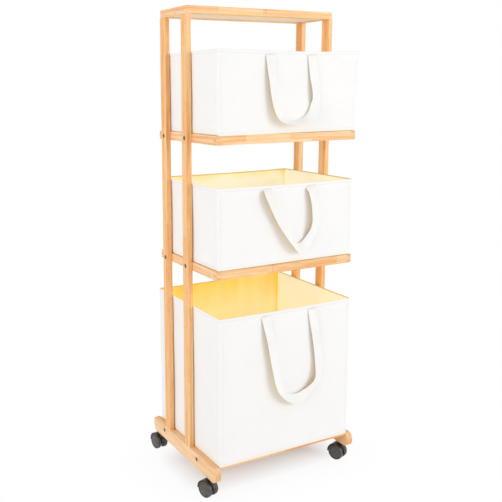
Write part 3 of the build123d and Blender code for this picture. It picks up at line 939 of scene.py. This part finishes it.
    def build(self) -> None:
        """Makes the shell and its stitching in place of the plain solid."""
        name = self.kind.value
        bm = self.cut()
        binding, folded = 2, 4  # finish numbers of the foot and of the lining's folded edge
        for face in bm.faces:
            level = face.calc_center_median().z
            if level < self.low.z + self.welt and abs(face.normal.z) < 0.7:
                face.material_index = binding
            elif level > self.high.z - self.lip:
                face.material_index = folded
        for vert in bm.verts:
            vert.co = self.settle(vert.co)
        plain = self.finishes.plain
        cloth = plain["off_white_bag_cloth"]
        # yellow taffeta lining: finer and slightly shinier than the outer cloth
        start, fade = self.lining
        # the lining's tone holds painted shade under the rim and in the back right corner, painted light
        # on the inside of the right wall, and a painted glow
        lining = Lining(
            f"yellow_lining_painted_light_and_shade_{name}",
            ("FFFFFF", "F3F3F3"),
            (1.2 * MM, 1.2 * MM),
            0.06 * MM,
            0.7,
            0.3,
            rim=self.high.z,
            half=self.half,
            start=start,
            fade=fade,
        ).material()
        # each outer finish is followed by its inner one
        # the lining's folded edge carries painted shade
        slots = [cloth, lining, plain["bag_foot_binding"], lining, cloth, plain["lining_edge_painted_shade"]]
        shell = new_piece(f"{name}_bag_shell", bm, *slots)
        wall = shell.modifiers.new("cloth", "SOLIDIFY")
        wall.thickness = self.cloth
        wall.offset = -1.0
        wall.use_even_offset = True
        wall.material_offset = 1
        soft = shell.modifiers.new("soft", "SUBSURF")
        soft.levels = soft.render_levels = 1
        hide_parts(f"{name}_bag")
        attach(shell, f"{name}_bag_body")
        stitching = self.sew()
        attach(stitching, f"{name}_bag_body")


@dataclass
class Handle:
    """A loop of flat webbing sewn on the hem, flat at its ends and on edge round its bend."""

    bag: Bag
    finishes: Finishes
    keys: Sequence[tuple[float, float, float, float]]  # as in LOOPS
    width: float = 30.0 * MM
    thick: float = 1.8 * MM
    gap: float = 1.6 * MM
    sewn: float = 8.0 * MM  # length of each end that is sewn on
    bend: float = 16.0 * MM  # length under it that bends when the handle is lifted
    steps: int = 10  # stations between two keys
    strips: int = 6  # faces across the webbing
    tack_rows: tuple[float, float] = (2.0 * MM, 5.0 * MM)  # rows of stitches from each end
    tacks: int = 8  # stitches in a row

    def __post_init__(self) -> None:
        """Takes the top and the length of the loop from its solid."""
        self.low, self.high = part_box(f"{self.bag.kind.value}_bag_handle")

    def spine(self) -> list[tuple[Vector, float]]:
        """The webbing's middle line and its turn at each station.

        Returns:
            Points with the angle that the webbing stands off the cloth there.
        """
        keys = [Vector((x, d, off, turn)) for x, d, off, turn in self.keys]
        ends = [keys[0] * 2 - keys[1], *keys, keys[-1] * 2 - keys[-2]]
        line = []
        for a, b, c, d in zip(ends, ends[1:], ends[2:], ends[3:]):
            slope, bow, twist = c - a, 2 * a - 5 * b + 4 * c - d, 3 * b - a - 3 * c + d
            for i in range(self.steps):
                t = i / self.steps
                line.append((2 * b + slope * t + bow * t**2 + twist * t**3) / 2)
        line.append(keys[-1])
        fitted = []
        for k in line:
            turn = math.radians(k[3])
            spot = Vector((k[0] * MM, self.bag.low.y, self.high.z - k[1] * MM))
            face = self.bag.settle(spot)
            stand = self.gap + k[2] * MM + self.width / 2 * abs(math.sin(turn))
            fitted.append((Vector((spot.x, face.y - stand, spot.z)), turn))
        return fitted

    def stations(self) -> list[Matrix]:
        """A frame at each station: the webbing's width, its run, its face, and its place.

        Returns:
            One matrix a station.
        """
        spine = self.spine()
        frames = []
        for i, (at, turn) in enumerate(spine):
            before, after = spine[max(0, i - 1)][0], spine[min(len(spine) - 1, i + 1)][0]
            run = (after - before).normalized()
            aside = Vector((run.z, 0.0, -run.x)).normalized()
            outward = aside.cross(run).normalized()
            if outward.y > 0:
                outward = -outward
            width = (aside * math.cos(turn) + outward * math.sin(turn)).normalized()
            face = width.cross(run).normalized()
            turned = Matrix((width, run, face)).transposed().to_4x4()
            frames.append(Matrix.Translation(at) @ turned)
        return frames

    def build(self) -> None:
        """Makes the webbing and its tacks in place of the plain solid."""
        name = self.bag.kind.value
        frames = self.stations()
        bm = bmesh.new()
        across = bm.verts.layers.float.new("across")
        along = bm.verts.layers.float.new("along")
        places = [(i / self.strips - 0.5) * self.width for i in range(self.strips + 1)]
        row = [bm.verts.new((x, 0.0, 0.0)) for x in places]
        for vert in row:
            vert[across] = vert.co.x
        chain = [bm.edges.new(pair) for pair in zip(row, row[1:])]
        bmesh.ops.transform(bm, matrix=frames[0], verts=row)
        travelled = 0.0
        for here, there in zip(frames, frames[1:]):
            travelled += (there.translation - here.translation).length
            grown = bmesh.ops.extrude_edge_only(bm, edges=chain)["geom"]
            row = [g for g in grown if isinstance(g, BMVert)]
            edges = [g for g in grown if isinstance(g, BMEdge)]
            chain = [edge for edge in edges if all(vert in row for vert in edge.verts)]
            bmesh.ops.transform(bm, matrix=there @ here.inverted(), verts=row)
            for vert in row:
                vert[along] = travelled
                vert[across] = (there.inverted() @ vert.co).x
        layer = bm.loops.layers.uv.new("webbing")
        for face in bm.faces:
            for loop in face.loops:
                loop[layer].uv = (loop.vert[across], loop.vert[along])
        bmesh.ops.recalc_face_normals(bm, faces=bm.faces)
        plain = self.finishes.plain
        # the webbing's back carries painted warm shade
        sides = plain["off_white_webbing"], plain["webbing_back_painted_warm_shade"]
        web = new_piece(f"{name}_handle_webbing", bm, *sides)
        wall = web.modifiers.new("thickness", "SOLIDIFY")
        wall.thickness = self.thick
        wall.offset = 0.0
        wall.material_offset = 1
        soft = web.modifiers.new("soft", "SUBSURF")
        soft.levels = soft.render_levels = 1
        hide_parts(f"{name}_bag_handle")
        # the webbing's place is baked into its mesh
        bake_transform(web)
        tacks = self.tack(frames)
        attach(tacks, f"{name}_bag_body")
        log.info("%s handle: webbing %.0f x %.0f mm", name, self.width / MM, travelled / MM)

    def tack(self, frames: Sequence[Matrix]) -> Object:
        """Sews two rows across each end of the webbing.

        Args:
            frames: the webbing's stations.

        Returns:
            The stitching.
        """
        thread = Thread(pitch=3.4 * MM, long=2.6 * MM, lift=0.1 * MM)
        out = Vector((0.0, -1.0, 0.0))
        for station, way in ((frames[0], 1), (frames[-1], -1)):
            for row in self.tack_rows:
                for i in range(self.tacks):
                    x = (i - (self.tacks - 1) / 2) * thread.pitch
                    at = station @ Vector((x, way * row, 0.0)) + out * (self.thick / 2 + thread.lift)
                    thread.stitch(at, station.to_3x3() @ Vector((1.0, 0.0, 0.0)), out)
        return thread.piece(f"{self.bag.kind.value}_handle_tacks", self.finishes.plain["sewing_thread"])


# across, down, off the cloth in mm, and the turn on edge in degrees, from the left end to the right end
LOOPS = {
    BagKind.UPPER: [
        (-66, 0, 0, 0), (-61, 69, 2, 15), (-53, 126, 2, 25), (-38, 163, 1, 45), (-3, 176, 1, 72),
        (38, 171, 2, 66), (63, 157, 3, 36), (76, 134, 3, 4), (78, 106, 3, -12), (72, 60, 1, -7),
        (66, 0, 0, 0),
    ],
    BagKind.MIDDLE: [
        (-70, 0, 0, 0), (-66, 27, 5, 24), (-30, 93, 3, 27), (6, 148, 2, 46), (33, 169, 2, 30),
        (62, 154, 5, 4), (82, 112, 5, -18), (82, 60, 3, -20), (75, 18, 3, -13), (70, 0, 0, 0),
    ],
    BagKind.BOTTOM: [
        (-77, 0, 0, 0), (-65, 70, 3, 17), (-51, 147, 3, 23), (-37, 211, 1, 38), (-8, 245, 3, 42),
        (28, 257, 3, 24), (66, 244, 6, -4), (96, 211, 5, -20), (101, 160, 3, -12), (92, 88, 3, -8),
        (78, 0, 0, 0),
    ],
}
LEANS = {BagKind.UPPER: 7.0 * MM, BagKind.MIDDLE: -4.0 * MM, BagKind.BOTTOM: -7.0 * MM}
SPILLS = {BagKind.UPPER: 4.5 * MM, BagKind.MIDDLE: 2.0 * MM, BagKind.BOTTOM: 1.0 * MM}
# the lining's painted shade at the rim and the depth in which it pales, deepest in the bottom bag
LININGS = {
    BagKind.UPPER: (0.5, 30 * MM),
    BagKind.MIDDLE: (0.5, 30 * MM),
    BagKind.BOTTOM: (0.0, 110 * MM),
}


def main() -> None:
    """Builds the studio and the object in order, and notes its size."""
    logging.basicConfig(level=logging.INFO, format="%(name)s: %(message)s")
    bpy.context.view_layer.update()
    bpy.context.scene.view_settings.view_transform = "Standard"
    Studio().build()
    log.info("studio ready")
    finishes = Finishes()
    finishes.make()
    Hardware(finishes).dress()
    for kind in BagKind:
        bag = Bag(kind, finishes, lean=LEANS[kind], spill=SPILLS[kind], lining=LININGS[kind])
        bag.build()
        Handle(bag, finishes, LOOPS[kind]).build()


if __name__ == "__main__":
    main()
